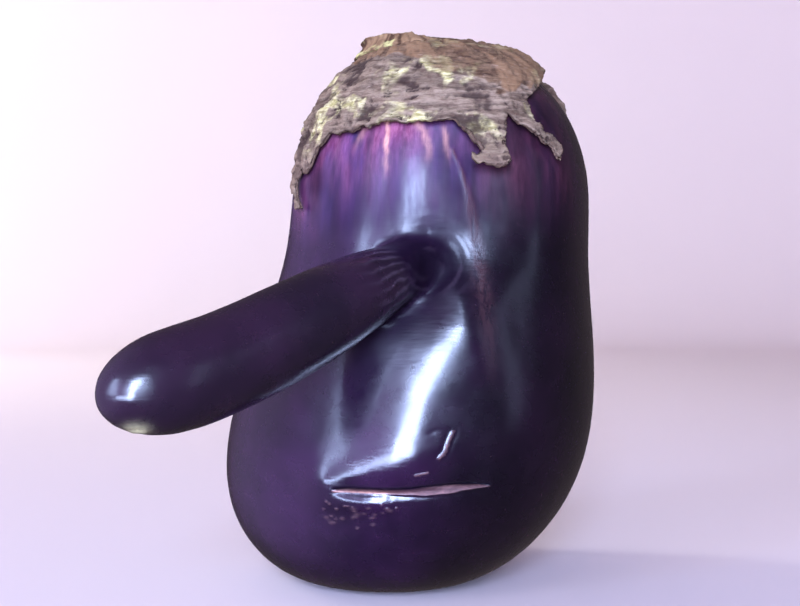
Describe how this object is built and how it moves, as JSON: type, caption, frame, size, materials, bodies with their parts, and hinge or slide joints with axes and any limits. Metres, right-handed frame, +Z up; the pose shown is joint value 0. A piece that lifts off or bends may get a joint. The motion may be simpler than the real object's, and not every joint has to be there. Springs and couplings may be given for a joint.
{
  "type": "eggplant",
  "caption": "Large dark purple globe eggplant with a long nose-like outgrowth, a mouth-like scar, a dried calyx and a low cut stem.",
  "frame": {"origin": "centre of the small flat spot that it stands on, at the blossom end", "axes": "+Z up through the fruit towards its stem, -Y the front, where the outgrowth leaves the skin, +X to the right of the front"},
  "size_m": [0.1298, 0.1598, 0.1681],
  "materials": {
    "skin": "waxy, very glossy, near-black purple with redder streaks under the calyx",
    "dried_calyx": "dry, fibrous grey-brown with green-yellow patches",
    "stem_wood": "rough cut, dry and fibrous"
  },
  "bodies": {
    "root": {"fruit": "skin", "calyx": "dried_calyx", "stem": "stem_wood"}
  },
  "joints": []
}
